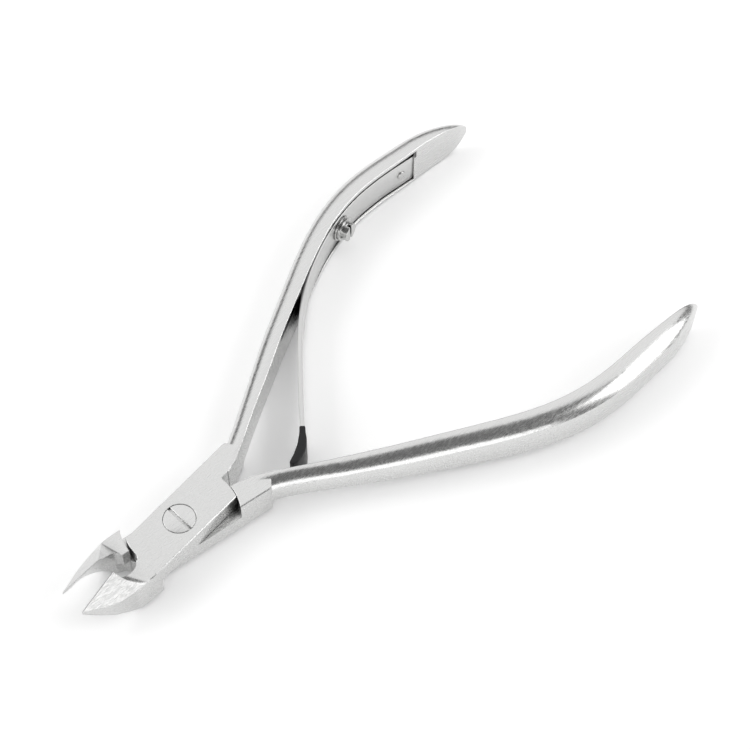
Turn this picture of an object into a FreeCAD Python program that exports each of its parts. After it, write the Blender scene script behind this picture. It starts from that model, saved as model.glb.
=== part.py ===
import FreeCAD, Part
import math
import os

# Cuticle nipper with a screwed lap joint, 109 mm long, drawn in millimetres.
# Origin: on the pivot axis, at the underside of the joint.  +X points to the jaw tips,
# +Z up through the screw head.  Each lever is drawn closed, with its jaw on the +Y side and
# its handle on the -Y side, then swung open; the lower lever is the mirror image of the upper.

V = FreeCAD.Vector

# joint
JOINT_THICK = 6.1
MID = JOINT_THICK / 2
LAP_CLEARANCE = 0.03
OPEN_HALF_ANGLE = 6.1
PLATE_HALF_WIDTH = 3.95
PLATE_FRONT_RADIUS = 8.65
PLATE_REAR_RADIUS = 9.30
POCKET_FRONT_RADIUS = 9.10
POCKET_REAR_RADIUS = 9.42
EDGE_CHAMFER = 0.16

# pivot screw
SCREW_HEAD_DIA = 5.0
SCREW_HEAD_CLEARANCE = 0.08
SCREW_HEAD_THICK = 1.5
SCREW_NECK_DIA = 3.2
SCREW_NECK_CLEARANCE = 0.04
SCREW_THREAD_DIA = 3.0
SLOT_WIDTH = 0.45
SLOT_DEPTH = 0.4

# jaws
JAW_TIP_X = 20.8
HUMP_X = 14.2
HUMP_Z = 9.0
RIDGE_SLOPE = 0.4135
FACET_SLOPE = 1.08
EDGE_OFFSET = 0.02
RELIEF_CENTRE = (11.2, -1.4)
RELIEF_RADIUS = 2.3
COVE_RADIUS = 2.0
COVE_AXIS_POINT = (11.8, 0.0)
COVE_AXIS_DIRECTION = (-0.39, 0.92)
BACK_SLOPE_X = 10.3
BACK_SLOPE = 0.744
BACK_TILT = 0.28
UNDERCUT_START_X = 12.5
UNDERCUT_SLOPE = 0.55
TOP_LIMIT = 9.6

# handle stations: x and y of the flat inner face, its lowest and highest z, the thickness,
# then the half height of the flat on the back, as a share of the inner face's
HANDLE_STATIONS = (
    (-11.0, -0.10, 0.20, 5.90, 2.90, 0.70),
    (-14.5, -1.15, 0.40, 6.15, 2.60, 0.58),
    (-18.6, -3.05, 0.60, 6.40, 2.50, 0.50),
    (-24.8, -5.90, 0.60, 6.45, 2.65, 0.57),
    (-37.4, -11.45, 0.15, 7.05, 3.10, 0.58),
    (-50.1, -16.6, -0.25, 7.45, 3.35, 0.64),
    (-62.5, -19.65, -0.25, 7.75, 3.70, 0.67),
    (-74.5, -18.9, -0.25, 7.75, 3.80, 0.66),
    (-81.5, -18.1, -0.35, 7.50, 3.40, 0.64),
    (-86.5, -17.4, -0.20, 6.55, 2.40, 0.62),
    (-89.6, -17.1, 1.20, 5.05, 1.15, 0.62),
    (-90.8, -17.05, 2.40, 3.80, 0.40, 0.62),
)
CROWN = 0.155
BACK_BULGE = 0.04

# leaf spring: centre line in the open pose, from the screwed end to the free end
SPRING_LINE = (
    (-75.8, -27.30), (-67.0, -27.62), (-60.0, -26.86), (-54.0, -25.04), (-48.0, -22.26),
    (-44.0, -19.75), (-40.0, -16.35), (-36.0, -12.45), (-31.9, -7.85), (-27.1, -2.35),
    (-24.8, 0.45), (-22.9, 2.5), (-21.6, 3.5), (-20.2, 4.1), (-18.9, 4.35),
)
SPRING_THICK = 0.7
SPRING_WIDTH = 5.5
POCKET_BELOW = 0.2
POCKET_ABOVE = 1.3
SLEEVE_FIRST_POINT = 10
SLEEVE_WALL = 0.45
SLEEVE_SIDE_WALL = 0.25
SLEEVE_CLEARANCE = 0.03

# spring fasteners, placed along the strip by x
SPRING_SCREW_X = -57.4
SPRING_SCREW_SHANK_DIA = 2.0
SPRING_SCREW_DEPTH = 2.2
SPRING_SCREW_HEAD_DIA = 4.0
SPRING_SCREW_HEAD_THICK = 1.7
SPRING_SCREW_SLOT = 0.5
WASHER_DIA = 4.5
WASHER_THICK = 0.4
PIN_X = -73.0
PIN_DIA = 1.6
PIN_DEPTH = 1.6
PIN_PROUD = 0.35


def arc_point(radius, degrees):
    """Point in the XY plane at a radius and an angle about the pivot."""
    a = math.radians(degrees)
    return V(radius * math.cos(a), radius * math.sin(a), 0)


def spline(points):
    """Smooth edge through the points."""
    curve = Part.BSplineCurve()
    curve.interpolate(points)
    return curve.toShape()


def prism(edges, z_low, z_high):
    """Solid from a closed outline in the XY plane, between two heights."""
    face = Part.Face(Part.Wire(Part.__sortEdges__(edges)))
    face.translate(V(0, 0, z_low))
    return face.extrude(V(0, 0, z_high - z_low))


def lines(points):
    """Straight edges from point to point."""
    return [Part.makeLine(a, b) for a, b in zip(points, points[1:])]


def slab(corner, opposite):
    """Upright box between two opposite corners."""
    size = opposite - corner
    return Part.makeBox(size.x, size.y, size.z, corner)


def lever_outline():
    """Plan of the joint plate and jaw, closed: jaw at +Y, handle root at -Y."""
    front_corner = V(7.75, -3.85, 0)
    front_start = math.degrees(math.atan2(front_corner.y, front_corner.x))
    front_radius = front_corner.Length
    front_end = arc_point(PLATE_FRONT_RADIUS, -5)
    nose = V(10.35, EDGE_OFFSET, 0)
    edge_rear = V(13.6, EDGE_OFFSET, 0)
    tip = V(JAW_TIP_X, EDGE_OFFSET, 0)
    shoulder = V(9.0, 4.0, 0)
    rear_corner = V(-8.42, PLATE_HALF_WIDTH, 0)
    rear_end = arc_point(PLATE_REAR_RADIUS, 179)
    edges = [Part.Arc(front_corner, arc_point((front_radius + PLATE_FRONT_RADIUS) / 2, front_start / 2),
                      front_end).toShape()]
    edges += lines([front_end, V(9.0, -0.12, 0), V(9.1, EDGE_OFFSET, 0), nose])
    edges.append(spline([nose, V(11.5, 0.78, 0), V(12.6, 0.42, 0), edge_rear]))
    edges += lines([edge_rear, tip, V(JAW_TIP_X, 0.08, 0)])
    edges.append(spline([V(JAW_TIP_X, 0.08, 0), V(19.2, 1.0, 0), V(17.3, 2.08, 0), V(15.4, 2.86, 0),
                         V(13.4, 3.42, 0), V(11.4, 3.8, 0), shoulder]))
    edges += lines([shoulder, rear_corner])
    edges.append(Part.Arc(rear_corner, arc_point(PLATE_REAR_RADIUS, 167), rear_end).toShape())
    edges += lines([rear_end, V(-9.43, -0.03, 0), V(-10.3, -0.06, 0), V(-13.2, -0.62, 0), V(-15.7, -1.6, 0),
                    V(-14.25, -4.05, 0), V(-13.8, -4.12, 0), front_corner])
    return edges


def handle_section(station, spine):
    """Section across the handle: flat inner face, rounded shoulders and a nearly flat back."""
    x, y, z_low, z_high, thick, back_share = station
    along = spine.tangent(spine.parameter(V(x, y, 0)))[0]
    outward = V(-along.y, along.x, 0)
    if outward.y > 0:
        outward = outward * -1
    middle = (z_low + z_high) / 2
    back_half = back_share * (z_high - z_low) / 2

    def at(depth, z):
        return V(x, y, z) + outward * depth

    def shoulder(z_face, z_back):
        chord = V(thick, z_back - z_face, 0)
        bulge = CROWN * (1 if z_face > z_back else -1)
        return Part.Arc(at(0, z_face),
                        at(chord.x / 2 - chord.y * bulge, z_face + chord.y / 2 + chord.x * bulge),
                        at(thick, z_back)).toShape()

    inner = Part.makeLine(at(0, z_low), at(0, z_high))
    top = shoulder(z_high, middle + back_half)
    back = Part.Arc(at(thick, middle + back_half), at(thick * (1 + BACK_BULGE), middle),
                    at(thick, middle - back_half)).toShape()
    bottom = shoulder(z_low, middle - back_half)
    return Part.Wire([inner, top, back, bottom])


def handle():
    """Handle lofted through its sections."""
    spine = Part.BSplineCurve()
    spine.interpolate([V(s[0], s[1], 0) for s in HANDLE_STATIONS])
    return Part.makeLoft([handle_section(s, spine) for s in HANDLE_STATIONS], True, False)


def facet_height(x, y):
    """Height of the ground top facet of the jaw, whose ridge is the cutting edge."""
    return HUMP_Z - RIDGE_SLOPE * (x - HUMP_X) - FACET_SLOPE * y


def above_facet():
    """Everything over the ground facet."""
    corners = [V(x, y, facet_height(x, y)) for x, y in ((8, -6), (24, -6), (24, 8), (8, 8), (8, -6))]
    return Part.Face(Part.makePolygon(corners)).extrude(V(0, 0, 20))


def below_undercut():
    """Everything under the ground slope on the underside of the jaw."""
    corners = []
    for x, y in ((UNDERCUT_START_X, -6), (24, -6), (24, 8), (UNDERCUT_START_X, 8), (UNDERCUT_START_X, -6)):
        corners.append(V(x, y, UNDERCUT_SLOPE * (x - UNDERCUT_START_X)))
    return Part.Face(Part.makePolygon(corners)).extrude(V(0, 0, -20))


def cove():
    """Clearance over the joint, ending in the rounded step at the back of the jaw's hump."""
    direction = V(COVE_AXIS_DIRECTION[0], COVE_AXIS_DIRECTION[1], 0)
    centre = V(COVE_AXIS_POINT[0], COVE_AXIS_POINT[1], JOINT_THICK + COVE_RADIUS)
    round_step = Part.makeCylinder(COVE_RADIUS, 40, centre - direction * 20, direction)
    behind = slab(V(-60, -20, JOINT_THICK), V(0, 20, 20))
    over = slab(V(-60, -20, JOINT_THICK + COVE_RADIUS), V(COVE_RADIUS, 20, 20))
    turn = math.degrees(math.atan2(direction.y, direction.x)) - 90
    for block in (behind, over):
        block.rotate(V(0, 0, 0), V(0, 0, 1), turn)
        block.translate(V(centre.x, centre.y, 0))
    return round_step.fuse([behind, over])


def back_slope():
    """Clearance over the joint, ending in the long slope at the back of the lower jaw's hump."""
    corners = []
    for x, y in ((BACK_SLOPE_X, -6), (24, -6), (24, 8), (BACK_SLOPE_X, 8), (BACK_SLOPE_X, -6)):
        corners.append(V(x, y, JOINT_THICK + BACK_SLOPE * (x - BACK_SLOPE_X) - BACK_TILT * y))
    over_slope = Part.Face(Part.makePolygon(corners)).extrude(V(0, 0, 20))
    return over_slope.common(slab(V(-60, -20, JOINT_THICK), V(30, 20, 40))).fuse(
        slab(V(-60, -20, JOINT_THICK), V(BACK_SLOPE_X, 20, 40)))


def hollow():
    """Hollow ground inside the jaw, below the cutting edge."""
    foot = ((10.4, 0.30), (11.5, 1.45), (12.7, 2.55), (14.2, 3.1), (15.7, 3.4), (17.2, 3.3),
            (18.8, 2.8), (21.4, 2.25))
    head = ((10.4, -0.2), (11.5, 0.25), (12.7, 0.0), (14.2, -0.12), (15.7, -0.37), (17.2, -0.62),
            (18.8, -0.9), (21.4, -1.3))
    sections = []
    for z in (-0.5, HUMP_Z + 0.5):
        share = z / HUMP_Z
        wall = [V(a[0], a[1] + (b[1] - a[1]) * share, z) for a, b in zip(foot, head)]
        closing = lines([wall[-1], V(wall[-1].x, -6, z), V(wall[0].x, -6, z), wall[0]])
        sections.append(Part.Wire([spline(wall)] + closing))
    return Part.makeLoft(sections, True, True)


def lap_pocket(z_low, z_high):
    """Round-shouldered pocket that the other lever's plate turns in."""
    front = Part.makeCylinder(POCKET_FRONT_RADIUS, z_high - z_low, V(0, 0, z_low))
    rear = Part.makeCylinder(POCKET_REAR_RADIUS, z_high - z_low, V(0, 0, z_low))
    rear = rear.common(slab(V(-20, -20, z_low), V(0, 20, z_high)))
    return front.fuse(rear)


def chamfered(shape):
    """Breaks the long edges of the joint plate's ground faces."""
    picked = []
    for edge in shape.Edges:
        middle = edge.CenterOfMass
        flat = abs(edge.BoundBox.ZMax - edge.BoundBox.ZMin) < 0.01
        on_face = min(abs(middle.z), abs(middle.z - JOINT_THICK)) < 0.01
        long_side = edge.Length > 12 and abs(middle.y) > 3.5 and abs(middle.x) < 5
        if flat and on_face and long_side:
            picked.append(edge)
    return shape.makeChamfer(EDGE_CHAMFER, picked)


def lever(top_plate):
    """One lever, closed, with its joint plate in the top or the bottom half."""
    if top_plate:
        pocket = (-1, MID + LAP_CLEARANCE)
        relief = (MID, 12)
    else:
        pocket = (MID - LAP_CLEARANCE, JOINT_THICK + 1)
        relief = (-1, MID)
    body = prism(lever_outline(), 0, TOP_LIMIT)
    body = body.cut(above_facet())
    body = body.cut(cove() if top_plate else back_slope())
    body = body.cut(hollow())
    body = body.cut(below_undercut())
    body = chamfered(body)
    relief_centre = V(RELIEF_CENTRE[0], RELIEF_CENTRE[1], relief[0])
    body = body.cut(Part.makeCylinder(RELIEF_RADIUS, relief[1] - relief[0], relief_centre))
    body = body.fuse(handle())
    body = body.cut(lap_pocket(*pocket))
    return body.removeSplitter()


def opened(shape, upper):
    """Swings a lever, or a piece of it, from closed to the open stop."""
    if upper:
        shape.rotate(V(0, 0, 0), V(0, 0, 1), OPEN_HALF_ANGLE)
        return shape
    shape = shape.mirror(V(0, 0, 0), V(0, 1, 0))
    shape.rotate(V(0, 0, 0), V(0, 0, 1), -OPEN_HALF_ANGLE)
    return shape


def strip_curve(first, last):
    """Centre line of the leaf spring between two of its points."""
    curve = Part.BSplineCurve()
    curve.interpolate([V(x, y, 0) for x, y in SPRING_LINE])
    start = curve.parameter(V(*SPRING_LINE[first], 0))
    end = curve.parameter(V(*SPRING_LINE[last], 0))
    return curve, start, end


def band(first, last, side_a, side_b, z_low, z_high, trim=0.0):
    """Upright strip along the spring's line, between two offsets to its left."""
    curve, start, end = strip_curve(first, last)
    end -= trim
    steps = 3 * (last - first)
    left, right = [], []
    for i in range(steps + 1):
        u = start + (end - start) * i / steps
        here = curve.value(u)
        along = curve.tangent(u)[0]
        across = V(-along.y, along.x, 0)
        left.append(here + across * side_a)
        right.append(here + across * side_b)
    edges = [spline(left), spline(right)]
    edges += [Part.makeLine(left[0], right[0]), Part.makeLine(left[-1], right[-1])]
    return prism(edges, z_low, z_high)


def strip_frame(x):
    """Point and inward normal on the strip's upper face at a given x."""
    curve, start, end = strip_curve(0, len(SPRING_LINE) - 1)
    low, high = start, end
    for _ in range(40):
        middle = (low + high) / 2
        if curve.value(middle).x < x:
            low = middle
        else:
            high = middle
    along = curve.tangent(low)[0]
    across = V(-along.y, along.x, 0)
    face = curve.value(low) + across * (SPRING_THICK / 2) + V(0, 0, MID)
    return face, across


def pin_along(point, direction, dia, start, length):
    """Cylinder on an axis through a point, from a start distance along the direction."""
    return Part.makeCylinder(dia / 2, length, point + direction * start, direction)


def spring_pieces():
    """Leaf spring, its washer, screw, locating pin and end sleeve."""
    half = SPRING_THICK / 2
    low = MID - SPRING_WIDTH / 2
    high = MID + SPRING_WIDTH / 2
    last = len(SPRING_LINE) - 1
    screw_face, screw_axis = strip_frame(SPRING_SCREW_X)
    pin_face, pin_axis = strip_frame(PIN_X)

    spring = band(0, last, half, -half, low, high, 0.04)
    screw_hole = pin_along(screw_face, screw_axis, SPRING_SCREW_SHANK_DIA, -2, 4)
    pin_hole = pin_along(pin_face, pin_axis, PIN_DIA, -2, 4)
    spring = spring.cut(screw_hole).cut(pin_hole)

    washer = pin_along(screw_face, screw_axis, WASHER_DIA, 0, WASHER_THICK)
    washer = washer.cut(band(0, last, half + 0.02, -half, low, high)).cut(screw_hole)

    head = pin_along(screw_face, screw_axis, SPRING_SCREW_HEAD_DIA, WASHER_THICK, SPRING_SCREW_HEAD_THICK)
    outer_rim = [e for e in head.Edges if isinstance(e.Curve, Part.Circle)]
    outer_rim.sort(key=lambda e: (e.CenterOfMass - screw_face).dot(screw_axis))
    head = head.makeFillet(0.4, [outer_rim[-1]])
    slot = Part.makeBox(SPRING_SCREW_SLOT, 6, 6)
    slot.translate(V(-SPRING_SCREW_SLOT / 2, -3, 0))
    turn = FreeCAD.Rotation(V(0, 0, 1), screw_axis)
    slot.Placement = FreeCAD.Placement(
        screw_face + screw_axis * (WASHER_THICK + SPRING_SCREW_HEAD_THICK - 0.6), turn
    ).multiply(slot.Placement)
    shank = pin_along(screw_face, screw_axis, SPRING_SCREW_SHANK_DIA, -SPRING_SCREW_DEPTH,
                      SPRING_SCREW_DEPTH + WASHER_THICK)
    screw = head.fuse(shank).cut(slot)

    pin = pin_along(pin_face, pin_axis, PIN_DIA, -PIN_DEPTH, PIN_DEPTH + PIN_PROUD)

    outer = band(SLEEVE_FIRST_POINT, last, half + SLEEVE_WALL, -half - SLEEVE_WALL,
                 low - SLEEVE_SIDE_WALL, high + SLEEVE_SIDE_WALL)
    bore = band(SLEEVE_FIRST_POINT - 1, last, half + SLEEVE_CLEARANCE, -half - SLEEVE_CLEARANCE,
                low - SLEEVE_CLEARANCE, high + SLEEVE_CLEARANCE, 0.03)
    sleeve = outer.cut(bore)

    holes = pin_along(screw_face, screw_axis, SPRING_SCREW_SHANK_DIA, -SPRING_SCREW_DEPTH, 6)
    holes = holes.fuse(pin_along(pin_face, pin_axis, PIN_DIA, -PIN_DEPTH, 6))
    pieces = {
        "leaf_spring": spring,
        "spring_washer": washer,
        "spring_screw": screw,
        "spring_locating_pin": pin,
        "spring_sleeve": sleeve,
    }
    return pieces, holes


def spring_pocket():
    """Shallow pocket in the handle's inner face that the strip lies in."""
    half = SPRING_THICK / 2
    low = MID - SPRING_WIDTH / 2 - POCKET_BELOW
    high = MID + SPRING_WIDTH / 2 + POCKET_ABOVE
    return band(0, len(SPRING_LINE) - 1, 2, -half, low, high)


def pivot_screw():
    """Slotted pivot screw: flush head, neck through the top plate, thread in the lower one."""
    head = Part.makeCylinder(SCREW_HEAD_DIA / 2, SCREW_HEAD_THICK, V(0, 0, JOINT_THICK - SCREW_HEAD_THICK))
    neck_end = MID - LAP_CLEARANCE
    neck = Part.makeCylinder(SCREW_NECK_DIA / 2, JOINT_THICK - SCREW_HEAD_THICK - neck_end, V(0, 0, neck_end))
    thread = Part.makeCylinder(SCREW_THREAD_DIA / 2, neck_end)
    slot = Part.makeBox(SLOT_WIDTH, 6, 2)
    slot.translate(V(-SLOT_WIDTH / 2, -3, JOINT_THICK - SLOT_DEPTH))
    screw = head.fuse([neck, thread])
    return screw.removeSplitter().cut(slot)


def screw_seat():
    """Counterbore and neck hole through the top plate."""
    head_hole = Part.makeCylinder(SCREW_HEAD_DIA / 2 + SCREW_HEAD_CLEARANCE, 4,
                                  V(0, 0, JOINT_THICK - SCREW_HEAD_THICK - LAP_CLEARANCE))
    neck_hole = Part.makeCylinder(SCREW_NECK_DIA / 2 + SCREW_NECK_CLEARANCE, JOINT_THICK, V(0, 0, MID))
    return head_hole.fuse(neck_hole)


def build():
    """All pieces, by node name."""
    pieces, spring_holes = spring_pieces()
    upper = opened(lever(True), True)
    upper = upper.cut(screw_seat()).cut(spring_pocket()).cut(spring_holes)
    lower = opened(lever(False), False)
    lower = lower.cut(Part.makeCylinder(SCREW_THREAD_DIA / 2, MID + 1, V(0, 0, -1)))
    pieces["upper_lever"] = upper
    pieces["lower_lever"] = lower
    pieces["pivot_screw"] = pivot_screw()
    return pieces


os.makedirs("parts", exist_ok=True)
for name, shape in build().items():
    solids = shape.Solids
    print(name, "solids", len(solids), "valid", shape.isValid(), "volume %.1f" % shape.Volume)
    solids[0].exportStep("parts/" + name + ".step")
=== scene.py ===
import math

import bpy
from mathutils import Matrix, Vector


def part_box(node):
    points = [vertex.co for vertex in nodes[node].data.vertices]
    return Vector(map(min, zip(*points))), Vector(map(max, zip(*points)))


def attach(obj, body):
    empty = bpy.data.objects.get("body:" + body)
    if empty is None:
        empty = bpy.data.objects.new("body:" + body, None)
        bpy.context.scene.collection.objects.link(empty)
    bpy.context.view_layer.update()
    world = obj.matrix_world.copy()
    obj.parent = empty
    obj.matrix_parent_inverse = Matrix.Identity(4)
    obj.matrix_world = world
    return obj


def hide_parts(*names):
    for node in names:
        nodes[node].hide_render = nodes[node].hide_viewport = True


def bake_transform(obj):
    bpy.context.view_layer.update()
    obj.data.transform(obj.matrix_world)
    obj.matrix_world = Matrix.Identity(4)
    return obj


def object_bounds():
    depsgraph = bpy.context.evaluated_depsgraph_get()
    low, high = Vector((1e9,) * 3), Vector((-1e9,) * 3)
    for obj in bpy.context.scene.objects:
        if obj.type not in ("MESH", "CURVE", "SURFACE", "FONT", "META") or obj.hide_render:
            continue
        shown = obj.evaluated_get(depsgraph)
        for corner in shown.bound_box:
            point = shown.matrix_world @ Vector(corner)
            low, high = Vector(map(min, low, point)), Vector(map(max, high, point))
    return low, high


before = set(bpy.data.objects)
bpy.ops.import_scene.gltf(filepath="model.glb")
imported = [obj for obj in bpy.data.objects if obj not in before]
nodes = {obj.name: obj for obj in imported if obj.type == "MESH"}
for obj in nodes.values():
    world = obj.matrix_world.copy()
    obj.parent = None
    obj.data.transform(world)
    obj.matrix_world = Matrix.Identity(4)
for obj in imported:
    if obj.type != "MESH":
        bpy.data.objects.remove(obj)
cad_box = [list(corner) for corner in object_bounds()]
MM = 0.001
MIDDLE = 3.05 * MM

# ---------------------------------------------------------------------------
# Camera, floor and studio
# The tool lies on a pale table, seen from above the gap between its handles.
# ---------------------------------------------------------------------------
camera_data = bpy.data.cameras.new("camera")
camera_data.lens = 94.46
camera_data.sensor_width = 36
camera_data.clip_start = 0.01
camera = bpy.data.objects.new("camera", camera_data)
bpy.context.scene.collection.objects.link(camera)
camera.location = Vector((81.60, 128.26, 264.58)) * MM
aim = Vector((-40.955 * MM, -0.046 * MM, MIDDLE))
camera.rotation_euler = (aim - camera.location).to_track_quat("-Z", "Y").to_euler()
bpy.context.scene.camera = camera
bpy.context.scene.view_settings.view_transform = "Standard"

LAMP_POWER = 4
TABLE_SIZE = 4
TABLE_GAP = 0.02 * MM

to_camera = Vector((camera.location.x - aim.x, camera.location.y - aim.y, 0)).normalized()
to_left = Vector((-to_camera.y, to_camera.x, 0))


def softbox(name, zenith, turn, distance, width, height, radiance):
    """Rectangular lamp at an angle from straight up, turned round from the camera's side."""
    way = to_camera * math.cos(math.radians(turn)) + to_left * math.sin(math.radians(turn))
    z = math.radians(zenith)
    data = bpy.data.lights.new(name, "AREA")
    data.shape = "RECTANGLE"
    data.size = width
    data.size_y = height
    data.energy = radiance * width * height * LAMP_POWER
    lamp = bpy.data.objects.new(name, data)
    bpy.context.scene.collection.objects.link(lamp)
    lamp.location = aim + (way * math.sin(z) + Vector((0, 0, math.cos(z)))) * distance
    lamp.rotation_euler = (aim - lamp.location).to_track_quat("-Z", "Y").to_euler()


softbox("back_softbox", 41, 180, 0.60, 1.10, 0.72, 0.70)
softbox("front_strip", 71, 0, 0.85, 1.30, 0.36, 1.3)
softbox("left_softbox", 58, 90, 0.80, 0.60, 0.60, 2.2)
softbox("right_softbox", 58, -90, 0.80, 0.60, 0.60, 2.2)

world = bpy.data.worlds.new("studio")
bpy.context.scene.world = world
world.use_nodes = True
world.node_tree.nodes["Background"].inputs["Color"].default_value = (1, 1, 1, 1)
world.node_tree.nodes["Background"].inputs["Strength"].default_value = 0.16

paint = bpy.data.materials.new("table_white")
paint.use_nodes = True
paint_shader = paint.node_tree.nodes["Principled BSDF"]
paint_shader.inputs["Base Color"].default_value = (0.95, 0.95, 0.95, 1)
paint_shader.inputs["Roughness"].default_value = 0.8
paint_shader.inputs["Specular IOR Level"].default_value = 0.2
paint_shader.inputs["Emission Color"].default_value = (1, 1, 1, 1)
paint_shader.inputs["Emission Strength"].default_value = 0.22
bpy.ops.object.select_all(action="DESELECT")
bpy.ops.mesh.primitive_plane_add(size=TABLE_SIZE, location=(0, 0, cad_box[0][2] - TABLE_GAP))
table = bpy.context.object
table.name = "table"
table.data.materials.append(paint)

# ---------------------------------------------------------------------------
# Levers
# Each lever is one stainless forging: handle ground along its length, joint plate
# ground flat, jaw sharpened with strokes across the cutting edge.
# ---------------------------------------------------------------------------
STEEL = (0.70, 0.70, 0.695)
# colour of the painted highlight along the levers' sharp edges
EDGE_HIGHLIGHT = (0.92, 0.92, 0.915)
# colour of the painted shade in narrow gaps and creases
GAP_SHADE = (0.06, 0.06, 0.06)
MARK_HEIGHT = 0.02 * MM
# places along the lever: root of the handle, joint plate and jaw
ROOT_START = -17.5 * MM
PLATE_START = -11.0 * MM
PLATE_END = 10.5 * MM
PLATE_FADE = 3 * MM
JAW_FADE = 2 * MM
JAW_START = 9.2 * MM
HANDLE_TURN = 24
# box of the pocket's wall above the strip, on the handle with the spring, where the painted shade goes
POCKET_TAIL = -76.5 * MM
POCKET_FRONT = -33.0 * MM
POCKET_INSIDE = -7 * MM
STRIP_TOP = 5.5 * MM
POCKET_TOP = 7.16 * MM


def link(tree, source, target):
    tree.links.new(source, target)


def grain(tree, coordinates, turn, along, across, detail):
    """Fine scratches: noise drawn out along one direction in the plane of the tool."""
    mapping = tree.nodes.new("ShaderNodeMapping")
    mapping.inputs["Rotation"].default_value = (0, 0, math.radians(turn))
    mapping.inputs["Scale"].default_value = (along, across, across)
    noise = tree.nodes.new("ShaderNodeTexNoise")
    noise.inputs["Scale"].default_value = 1
    noise.inputs["Detail"].default_value = detail
    noise.inputs["Roughness"].default_value = 0.65
    link(tree, coordinates, mapping.inputs["Vector"])
    link(tree, mapping.outputs["Vector"], noise.inputs["Vector"])
    return noise.outputs["Fac"]


def step(tree, value, low, high, to_low, to_high):
    """Smooth change from one value to another between two places."""
    node = tree.nodes.new("ShaderNodeMapRange")
    node.interpolation_type = "SMOOTHSTEP"
    node.inputs["From Min"].default_value = low
    node.inputs["From Max"].default_value = high
    node.inputs["To Min"].default_value = to_low
    node.inputs["To Max"].default_value = to_high
    link(tree, value, node.inputs["Value"])
    return node.outputs["Result"]


def mixed(tree, share, first, second):
    """One value fading into another by a share."""
    node = tree.nodes.new("ShaderNodeMix")
    node.data_type = "FLOAT"
    link(tree, share, node.inputs["Factor"])
    link(tree, first, node.inputs["A"])
    link(tree, second, node.inputs["B"])
    return node.outputs["Result"]


def darkened(tree, share, colour, dark):
    """Colour pulled towards a dark one by a share."""
    shade = tree.nodes.new("ShaderNodeMix")
    shade.data_type = "RGBA"
    shade.inputs["B"].default_value = (*dark, 1)
    link(tree, share, shade.inputs["Factor"])
    link(tree, colour, shade.inputs["A"])
    return shade.outputs["Result"]


def shaded_in_gaps(tree, colour):
    """Painted shade: darkens the colour in narrow gaps and creases, found by ambient occlusion."""
    closed = tree.nodes.new("ShaderNodeAmbientOcclusion")
    closed.samples = 6
    closed.inputs["Distance"].default_value = 1.6 * MM
    return darkened(tree, step(tree, closed.outputs["AO"], 0.15, 0.62, 1, 0), colour, GAP_SHADE)


def edge_share(tree, smooth, flat_from):
    """How near a sharp edge is, from 0 on a flat to 1 on the corner."""
    flat = tree.nodes.new("ShaderNodeNewGeometry")
    dot = tree.nodes.new("ShaderNodeVectorMath")
    dot.operation = "DOT_PRODUCT"
    link(tree, smooth, dot.inputs[0])
    link(tree, flat.outputs["Normal"], dot.inputs[1])
    return step(tree, dot.outputs["Value"], 0.80, flat_from, 1, 0)


def edge_highlight_and_gap_shade(tree, width, bright, dull):
    """Colour that lightens along sharp edges as a painted highlight, with painted shade in narrow gaps.
    """
    bevel = tree.nodes.new("ShaderNodeBevel")
    bevel.samples = 8
    bevel.inputs["Radius"].default_value = width
    smooth = bevel.outputs["Normal"]
    blend = tree.nodes.new("ShaderNodeMix")
    blend.data_type = "RGBA"
    blend.inputs["A"].default_value = (*dull, 1)
    blend.inputs["B"].default_value = (*bright, 1)
    link(tree, edge_share(tree, smooth, 0.995), blend.inputs["Factor"])
    return smooth, shaded_in_gaps(tree, blend.outputs["Result"])


def new_finish(name, metallic):
    """Empty material, with its node tree, shader and place on the piece."""
    material = bpy.data.materials.new(name)
    material.use_nodes = True
    tree = material.node_tree
    shader = tree.nodes["Principled BSDF"]
    shader.inputs["Metallic"].default_value = metallic
    place = tree.nodes.new("ShaderNodeTexCoord").outputs["Object"]
    return material, tree, shader, place


def scratched(tree, shader, marks, height):
    """Raises the marks on the surface and returns the bump, for its strength to be set."""
    bump = tree.nodes.new("ShaderNodeBump")
    bump.inputs["Distance"].default_value = height
    link(tree, marks, bump.inputs["Height"])
    link(tree, bump.outputs["Normal"], shader.inputs["Normal"])
    return bump


def multiplied(tree, *shares):
    """Product of several shares."""
    result = shares[0]
    for share in shares[1:]:
        node = tree.nodes.new("ShaderNodeMath")
        node.operation = "MULTIPLY"
        link(tree, result, node.inputs[0])
        link(tree, share, node.inputs[1])
        result = node.outputs["Value"]
    return result


def jaw_hollow_shade(tree, x, colour):
    """Painted shade in the hollows behind the cutting edges, found by ambient occlusion; the jaw is
    also slightly darker towards its tip.
    """
    closed = tree.nodes.new("ShaderNodeAmbientOcclusion")
    closed.samples = 8
    closed.only_local = True
    closed.inputs["Distance"].default_value = 5 * MM
    deep = step(tree, closed.outputs["AO"], 0.60, 0.95, 1, 0)
    near = step(tree, x, JAW_START, JAW_START + 0.6 * MM, 0, 1)
    # the jaw darkens slightly between 12 mm and 13 mm along the lever and stays so to the tip
    darker_towards_tip = darkened(tree, step(tree, x, 12 * MM, 13 * MM, 0, 0.14), colour, (0.2, 0.2, 0.2))
    return darkened(tree, multiplied(tree, deep, near), darker_towards_tip, (0.05, 0.05, 0.05))


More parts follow.
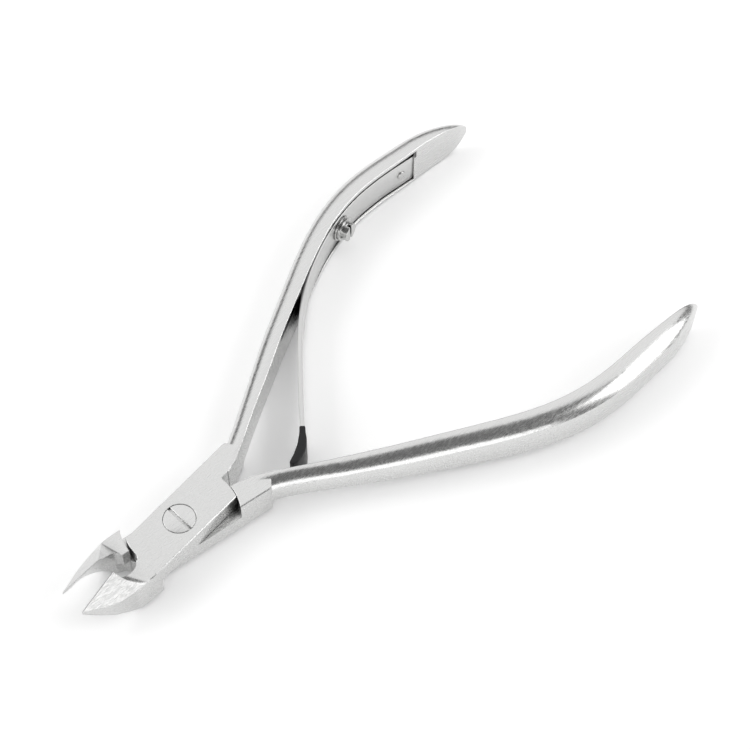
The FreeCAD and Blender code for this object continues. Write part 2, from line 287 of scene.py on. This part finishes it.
def pocket_wall_shade(tree, place, colour):
    """Painted shade on the pocket's wall behind the leaf spring, a dark band above the strip's edge."""
    split = tree.nodes.new("ShaderNodeSeparateXYZ")
    link(tree, place, split.inputs["Vector"])
    facing = tree.nodes.new("ShaderNodeSeparateXYZ")
    coordinates = tree.nodes.new("ShaderNodeTexCoord")
    link(tree, coordinates.outputs["Normal"], facing.inputs["Vector"])
    x, y, z = (split.outputs[axis] for axis in "XYZ")
    share = multiplied(
        tree,
        step(tree, x, POCKET_TAIL, POCKET_TAIL + 0.6 * MM, 0, 1),
        step(tree, x, POCKET_FRONT - MM, POCKET_FRONT, 1, 0),
        step(tree, z, STRIP_TOP, STRIP_TOP + 0.2 * MM, 0, 1),
        step(tree, z, POCKET_TOP - 0.1 * MM, POCKET_TOP, 1, 0),
        step(tree, y, POCKET_INSIDE - MM, POCKET_INSIDE, 1, 0),
        step(tree, facing.outputs["Y"], 0.3, 0.4, 0, 1),
    )
    return darkened(tree, share, colour, (0.03, 0.03, 0.03))


def ground_steel(name, handle_turn):
    """Steel of a lever, with its three directions of grinding."""
    material, tree, shader, place = new_finish(name, 1)
    split = tree.nodes.new("ShaderNodeSeparateXYZ")
    link(tree, place, split.inputs["Vector"])
    x = split.outputs["X"]
    handle_grain = grain(tree, place, handle_turn, 90, 5200, 4)
    plate_grain = grain(tree, place, 0, 1500, 5200, 5)
    jaw_grain = grain(tree, place, 75, 60, 5200, 3)
    on_plate = step(tree, x, PLATE_START - PLATE_FADE, PLATE_START, 0, 1)
    on_jaw = step(tree, x, PLATE_END, PLATE_END + JAW_FADE, 0, 1)
    scratches = mixed(tree, on_jaw, mixed(tree, on_plate, handle_grain, plate_grain), jaw_grain)
    depth = mixed(tree, on_jaw,
                  step(tree, x, PLATE_START - PLATE_FADE, PLATE_START, 0.08, 0.03),
                  step(tree, x, PLATE_END, PLATE_END + JAW_FADE, 0.03, 0.035))
    # painted highlight along the lever's sharp edges and painted shade in its gaps
    smooth, colour = edge_highlight_and_gap_shade(tree, 0.16 * MM, EDGE_HIGHLIGHT, STEEL)
    bump = scratched(tree, shader, scratches, MARK_HEIGHT)
    link(tree, depth, bump.inputs["Strength"])
    link(tree, smooth, bump.inputs["Normal"])
    # Painted highlight: past the handle's root the sharp edges turn nearly non-metallic, so their
    # bright colour shows as a white line.
    edge_glint_share = multiplied(tree, edge_share(tree, smooth, 0.97),
                      step(tree, x, ROOT_START, ROOT_START + MM, 0, 1))
    link(tree, step(tree, edge_glint_share, 0, 1, 1, 0.1), shader.inputs["Metallic"])
    link(tree, pocket_wall_shade(tree, place, jaw_hollow_shade(tree, x, colour)), shader.inputs["Base Color"])
    link(tree, step(tree, scratches, 0.3, 0.7, 0.20, 0.34), shader.inputs["Roughness"])
    return material


for lever, turn in (("upper_lever", -HANDLE_TURN), ("lower_lever", HANDLE_TURN)):
    nodes[lever].data.materials.clear()
    nodes[lever].data.materials.append(ground_steel(lever + "_steel", turn))

# ---------------------------------------------------------------------------
# Pivot screw
# A turned stainless screw: its flush head sits in the upper plate and its end is
# screwed through the lower one.  The head has a shallow driver slot.
# ---------------------------------------------------------------------------
HEAD_RADIUS = 2.5 * MM
HEAD_THICK = 1.5 * MM
NECK_RADIUS = 1.6 * MM
THREAD_RADIUS = 1.5 * MM
SLOT_WIDTH = 0.45 * MM
SLOT_DEPTH = 0.32 * MM
CUTTER_LENGTH = 12 * MM
DIMPLE_DEPTH = 0.25 * MM


def pick_faces(obj, wanted):
    """Selects the faces whose centre and normal are wanted, and leaves the object in edit mode."""
    bpy.ops.object.mode_set(mode="OBJECT")
    for edge in obj.data.edges:
        edge.select = False
    for vertex in obj.data.vertices:
        vertex.select = False
    for face in obj.data.polygons:
        face.select = wanted(face.center, face.normal)
    bpy.ops.object.mode_set(mode="EDIT")
    bpy.ops.mesh.select_mode(type="FACE")


def finish_edit():
    """Turns every face of the piece in edit mode outward, and leaves edit mode."""
    bpy.ops.mesh.select_all(action="SELECT")
    bpy.ops.mesh.normals_make_consistent(inside=False)
    bpy.ops.object.mode_set(mode="OBJECT")


def apply_all(obj):
    """Applies the piece's modifiers and its place, turn and scale."""
    bpy.ops.object.select_all(action="DESELECT")
    bpy.context.view_layer.objects.active = obj
    obj.select_set(True)
    for modifier in list(obj.modifiers):
        bpy.ops.object.modifier_apply(modifier=modifier.name)
    bpy.ops.object.transform_apply(location=True, rotation=True, scale=True)


def cut_slot(obj, width, depth, top):
    """Cuts a driver slot across the top of a head with a cutter block."""
    bpy.ops.object.select_all(action="DESELECT")
    bpy.ops.mesh.primitive_cube_add(size=1, location=(0, 0, top))
    cutter = bpy.context.object
    cutter.scale = (width, CUTTER_LENGTH, depth * 2)
    bpy.ops.object.transform_apply(location=True, rotation=True, scale=True)
    modifier = obj.modifiers.new("slot", "BOOLEAN")
    modifier.operation = "DIFFERENCE"
    modifier.object = cutter
    apply_all(obj)
    bpy.data.objects.remove(cutter)


def soften(obj, width, segments=3, angle=35):
    """Breaks the sharp edges and shades the rest smooth."""
    modifier = obj.modifiers.new("edges", "BEVEL")
    modifier.width = width
    modifier.segments = segments
    modifier.limit_method = "ANGLE"
    modifier.angle_limit = math.radians(angle)
    apply_all(obj)
    bpy.ops.object.shade_smooth_by_angle(angle=math.radians(30))


def turned_steel(name, colour, rough, rings):
    """Lathe-turned steel: fine drawn marks from the tool, a painted highlight along its edges and
    painted shade in gaps.
    """
    material, tree, shader, place = new_finish(name, 1)
    marks = grain(tree, place, 40, 400, rings, 4)
    # painted highlight along the edges and painted shade in gaps
    smooth, edge_lit_colour = edge_highlight_and_gap_shade(tree, 0.08 * MM, (0.7, 0.7, 0.69), colour)
    bump = scratched(tree, shader, marks, MARK_HEIGHT)
    bump.inputs["Strength"].default_value = 0.12
    link(tree, smooth, bump.inputs["Normal"])
    link(tree, edge_lit_colour, shader.inputs["Base Color"])
    link(tree, step(tree, marks, 0.3, 0.7, rough - 0.06, rough + 0.08), shader.inputs["Roughness"])
    return material


low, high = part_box("pivot_screw")
top = high.z
bpy.ops.object.select_all(action="DESELECT")
bpy.ops.mesh.primitive_cylinder_add(vertices=96, radius=HEAD_RADIUS, depth=HEAD_THICK,
                                    location=(0, 0, top - HEAD_THICK / 2))
pivot = bpy.context.object
pivot.name = "pivot_screw_turned"
bpy.ops.object.transform_apply(location=True, rotation=False, scale=False)
pick_faces(pivot, lambda centre, normal: normal.z < -0.9)
bpy.ops.mesh.inset(thickness=HEAD_RADIUS - NECK_RADIUS)
bpy.ops.mesh.extrude_region_move(TRANSFORM_OT_translate={"value": (0, 0, -(top - HEAD_THICK - MIDDLE))})
bpy.ops.mesh.inset(thickness=NECK_RADIUS - THREAD_RADIUS)
bpy.ops.mesh.extrude_region_move(TRANSFORM_OT_translate={"value": (0, 0, -(MIDDLE - low.z))})
bpy.ops.mesh.inset(thickness=0.5 * MM)
bpy.ops.mesh.extrude_region_move(TRANSFORM_OT_translate={"value": (0, 0, DIMPLE_DEPTH)})
finish_edit()
cut_slot(pivot, SLOT_WIDTH, SLOT_DEPTH, top)
soften(pivot, 0.05 * MM)
pivot.data.materials.append(turned_steel("pivot_steel", STEEL, 0.24, 4200))
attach(pivot, "lower_lever")
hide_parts("pivot_screw")

# ---------------------------------------------------------------------------
# Leaf spring
# A strip of rolled spring steel, fixed in the handle's pocket and bowed across to the
# other handle.  The real spring bends near its free end as the handles close; here the strip keeps one
# bent shape.
# ---------------------------------------------------------------------------
STRIP_LINE = (
    (-75.8, -27.30), (-67.0, -27.62), (-60.0, -26.86), (-54.0, -25.04), (-48.0, -22.26),
    (-44.0, -19.75), (-40.0, -16.35), (-36.0, -12.45), (-31.9, -7.85), (-27.1, -2.35),
    (-24.8, 0.45), (-22.9, 2.5), (-21.6, 3.5), (-20.2, 4.1), (-18.9, 4.35),
)
STRIP_THICK = 0.7 * MM
STRIP_WIDTH = 5.5 * MM
STRIP_STEPS = 90


def strip_curve(name, points):
    """Smooth line through the points, for a bar to be bent along."""
    data = bpy.data.curves.new(name, "CURVE")
    data.dimensions = "3D"
    data.resolution_u = 24
    data.twist_mode = "Z_UP"
    spline = data.splines.new("BEZIER")
    spline.bezier_points.add(len(points) - 1)
    for knot, (x, y) in zip(spline.bezier_points, points):
        knot.co = (x * MM, y * MM, MIDDLE)
        knot.handle_left_type = "AUTO"
        knot.handle_right_type = "AUTO"
    curve = bpy.data.objects.new(name, data)
    bpy.context.scene.collection.objects.link(curve)
    return curve, spline.calc_length()


def bar(name, length, thick, width, steps):
    """Straight bar along +X, cut across into short lengths so that it can bend."""
    bpy.ops.object.select_all(action="DESELECT")
    bpy.ops.mesh.primitive_cube_add(size=1, location=(length / 2, 0, 0))
    piece = bpy.context.object
    piece.name = name
    piece.scale = (length, thick, width)
    bpy.ops.object.transform_apply(location=True, rotation=True, scale=True)
    bpy.ops.object.mode_set(mode="EDIT")
    for i in range(1, steps):
        bpy.ops.mesh.select_all(action="SELECT")
        bpy.ops.mesh.bisect(plane_co=(length * i / steps, 0, 0), plane_no=(1, 0, 0))
    bpy.ops.object.mode_set(mode="OBJECT")
    return piece


def bend_along(piece, curve):
    """Bends a straight bar along the line."""
    modifier = piece.modifiers.new("bend", "CURVE")
    modifier.object = curve
    modifier.deform_axis = "POS_X"
    apply_all(piece)
    bpy.data.objects.remove(curve)


def rolled_steel(name, colour, turn):
    """Cold-rolled strip: lines along its length and a few duller patches."""
    material, tree, shader, place = new_finish(name, 1)
    lines = grain(tree, place, turn, 160, 3800, 5)
    blotches = grain(tree, place, 0, 300, 300, 3)
    # painted highlight along the strip's edges and painted shade in its gaps
    smooth, edge_lit_colour = edge_highlight_and_gap_shade(tree, 0.08 * MM, (0.68, 0.68, 0.675), colour)
    bump = scratched(tree, shader, lines, MARK_HEIGHT)
    bump.inputs["Strength"].default_value = 0.22
    link(tree, smooth, bump.inputs["Normal"])
    link(tree, edge_lit_colour, shader.inputs["Base Color"])
    rough = mixed(tree, blotches, step(tree, lines, 0.3, 0.7, 0.24, 0.36),
                  step(tree, lines, 0.3, 0.7, 0.34, 0.46))
    link(tree, rough, shader.inputs["Roughness"])
    return material


line, line_length = strip_curve("strip_line", STRIP_LINE)
strip = bar("leaf_spring_strip", line_length - 0.1 * MM, STRIP_THICK, STRIP_WIDTH, STRIP_STEPS)
soften(strip, 0.09 * MM, 2)
bend_along(strip, line)
bpy.ops.object.shade_smooth_by_angle(angle=math.radians(40))
strip.data.materials.append(rolled_steel("rolled_strip", (0.66, 0.66, 0.655), -30))
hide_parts("leaf_spring")
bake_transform(strip)

# ---------------------------------------------------------------------------
# End sleeve
# Black plastic pushed and shrunk onto the strip's curled end: a thin collar, a fuller
# body that slides on the other handle, and a pinched tip.
# ---------------------------------------------------------------------------
SLEEVE_LINE = STRIP_LINE[10:]
SLEEVE_STEPS = 28
SLEEVE_WIDTH = 5.98 * MM
# place along the sleeve as a share, and its thickness there
SLEEVE_FORM = ((0.0, 0.95), (0.12, 0.98), (0.35, 1.35), (0.65, 1.60), (0.85, 1.30), (1.0, 0.85))


def shrunk_plastic(name, colour):
    """Satin black plastic with a fine pebbled skin."""
    material, tree, shader, place = new_finish(name, 0)
    shader.inputs["Base Color"].default_value = (*colour, 1)
    shader.inputs["Specular IOR Level"].default_value = 0.35
    pebbles = grain(tree, place, 0, 2600, 2600, 5)
    bump = scratched(tree, shader, pebbles, 0.03 * MM)
    bump.inputs["Strength"].default_value = 0.25
    link(tree, step(tree, pebbles, 0.3, 0.7, 0.30, 0.50), shader.inputs["Roughness"])
    return material


line, line_length = strip_curve("sleeve_line", SLEEVE_LINE)
sleeve = bar("spring_end_sleeve", line_length, MM, SLEEVE_WIDTH, SLEEVE_STEPS)
for vertex in sleeve.data.vertices:
    share = min(max(vertex.co.x / line_length, 0), 1)
    for (a, thick_a), (b, thick_b) in zip(SLEEVE_FORM, SLEEVE_FORM[1:]):
        if a <= share <= b:
            ease = (share - a) / (b - a)
            ease = ease * ease * (3 - 2 * ease)
            vertex.co.y *= thick_a + (thick_b - thick_a) * ease
soften(sleeve, 0.22 * MM, 4)
bend_along(sleeve, line)
bpy.ops.object.shade_smooth_by_angle(angle=math.radians(50))
sleeve.data.materials.append(shrunk_plastic("sleeve_black", (0.008, 0.008, 0.009)))
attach(sleeve, "spring_tip")
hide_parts("spring_sleeve")

# ---------------------------------------------------------------------------
# Spring fasteners
# A turned, slotted screw over a thin steel washer holds the strip in its pocket.
# A small pin pressed into the handle stops the strip turning about the screw.
# ---------------------------------------------------------------------------
WASHER_RADIUS = 2.25 * MM
WASHER_THICK = 0.4 * MM
CAP_RADIUS = 2.0 * MM
CAP_TOP = 2.1 * MM
SHANK_RADIUS = 1.0 * MM
SHANK_END = -2.2 * MM
FLANGE_THICK = 0.45 * MM
GROOVE_THICK = 0.2 * MM
SCREW_POINT = (-57.4987 * MM, -25.8679 * MM, MIDDLE)
SCREW_AXIS = (-0.28214, 0.95937, 0)
PIN_POINT = (-72.9792 * MM, -27.1596 * MM, MIDDLE)
PIN_AXIS = (0.05929, 0.99824, 0)


def peg(name, radius, start, end):
    """Upright cylinder between two heights."""
    bpy.ops.object.select_all(action="DESELECT")
    bpy.ops.mesh.primitive_cylinder_add(vertices=64, radius=radius, depth=end - start,
                                        location=(0, 0, (start + end) / 2))
    piece = bpy.context.object
    piece.name = name
    bpy.ops.object.transform_apply(location=True, rotation=False, scale=False)
    return piece


def stand_on(piece, point, axis):
    """Turns an upright piece to its own axis and seats it on the strip."""
    piece.rotation_euler = Vector(axis).to_track_quat("Z", "Y").to_euler()
    piece.location = point
    apply_all(piece)


fastener_steel = turned_steel("fastener_steel", (0.60, 0.60, 0.595), 0.22, 3800)

cap = peg("spring_screw_turned", SHANK_RADIUS, SHANK_END, WASHER_THICK)
pick_faces(cap, lambda centre, normal: normal.z > 0.9)
bpy.ops.mesh.extrude_region_move()
bpy.ops.transform.resize(value=(CAP_RADIUS / SHANK_RADIUS, CAP_RADIUS / SHANK_RADIUS, 1))
bpy.ops.mesh.extrude_region_move(TRANSFORM_OT_translate={"value": (0, 0, FLANGE_THICK)})
bpy.ops.mesh.inset(thickness=0.35 * MM)
bpy.ops.mesh.extrude_region_move(TRANSFORM_OT_translate={"value": (0, 0, GROOVE_THICK)})
body_height = CAP_TOP - WASHER_THICK - FLANGE_THICK - GROOVE_THICK
bpy.ops.mesh.extrude_region_move(TRANSFORM_OT_translate={"value": (0, 0, body_height)})
finish_edit()
cut_slot(cap, 0.5 * MM, 0.7 * MM, CAP_TOP)
soften(cap, 0.12 * MM)
stand_on(cap, SCREW_POINT, SCREW_AXIS)

washer = peg("spring_washer_ring", WASHER_RADIUS, 0.08 * MM, WASHER_THICK - 0.01 * MM)
pick_faces(washer, lambda centre, normal: abs(normal.z) > 0.9)
bpy.ops.mesh.inset(thickness=WASHER_RADIUS - SHANK_RADIUS - 0.03 * MM)
bpy.ops.mesh.bridge_edge_loops()
finish_edit()
soften(washer, 0.06 * MM)
stand_on(washer, SCREW_POINT, SCREW_AXIS)

pin = peg("spring_pin_turned", 0.8 * MM, -1.6 * MM, 0.35 * MM)
soften(pin, 0.16 * MM, 4)
stand_on(pin, PIN_POINT, PIN_AXIS)

for piece, node in ((cap, "spring_screw"), (washer, "spring_washer"), (pin, "spring_locating_pin")):
    piece.data.materials.append(fastener_steel)
    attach(piece, "upper_lever")
    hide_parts(node)
